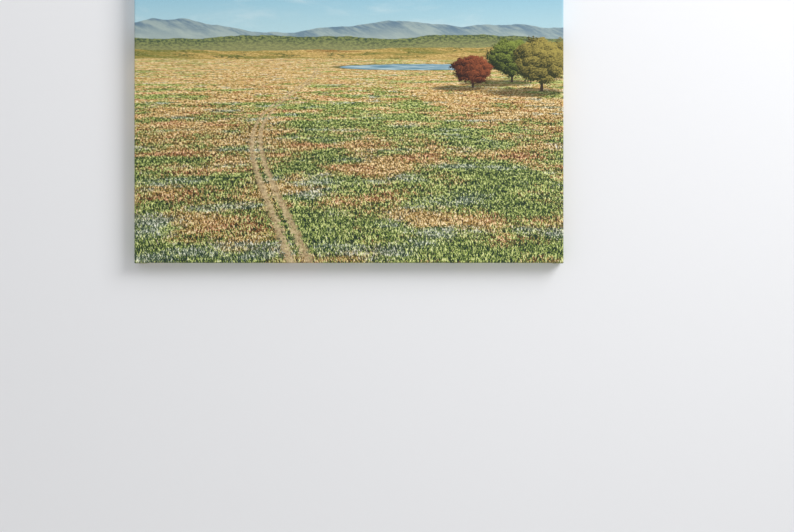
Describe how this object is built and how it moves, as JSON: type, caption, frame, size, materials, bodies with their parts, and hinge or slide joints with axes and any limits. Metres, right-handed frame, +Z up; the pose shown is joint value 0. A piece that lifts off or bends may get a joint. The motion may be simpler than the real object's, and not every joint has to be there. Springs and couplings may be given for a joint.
{
  "type": "stretched canvas print",
  "caption": "Wide landscape print on canvas, wrapped round a keyed pine stretcher frame with a centre brace, sawtooth hangers and wall bumpers.",
  "frame": {"origin": "on the wall plane, midway between the two sawtooth hangers and level with the notches that the wall's nails hold", "axes": "+X along the picture's width, +Z up, and the picture faces -Y, so the wall is the plane y = 0 and lies behind it at +Y"},
  "size_m": [1.2192, 0.0428, 0.8128],
  "materials": {
    "printed_canvas": "satin print",
    "pine": "planed, unvarnished",
    "key_wood": "sawn, unvarnished",
    "hanger_metal": "plated, pressed",
    "nail_steel": "bright",
    "bumper_rubber": "matt"
  },
  "bodies": {
    "root": {"canvas": "printed_canvas", "stretcher_top": "pine", "stretcher_bottom": "pine", "stretcher_left": "pine", "stretcher_right": "pine", "centre_brace": "pine", "key_top_a": "key_wood", "key_top_b": "key_wood", "key_right_a": "key_wood", "key_right_b": "key_wood", "key_bottom_a": "key_wood", "key_bottom_b": "key_wood", "key_left_a": "key_wood", "key_left_b": "key_wood", "key_brace_top_a": "key_wood", "key_brace_top_b": "key_wood", "key_brace_bottom_a": "key_wood", "key_brace_bottom_b": "key_wood", "hanger_left": "hanger_metal", "nail_left_outer": "nail_steel", "nail_left_inner": "nail_steel", "hanger_right": "hanger_metal", "nail_right_outer": "nail_steel", "nail_right_inner": "nail_steel", "bumper_left": "bumper_rubber", "bumper_right": "bumper_rubber"}
  },
  "joints": []
}
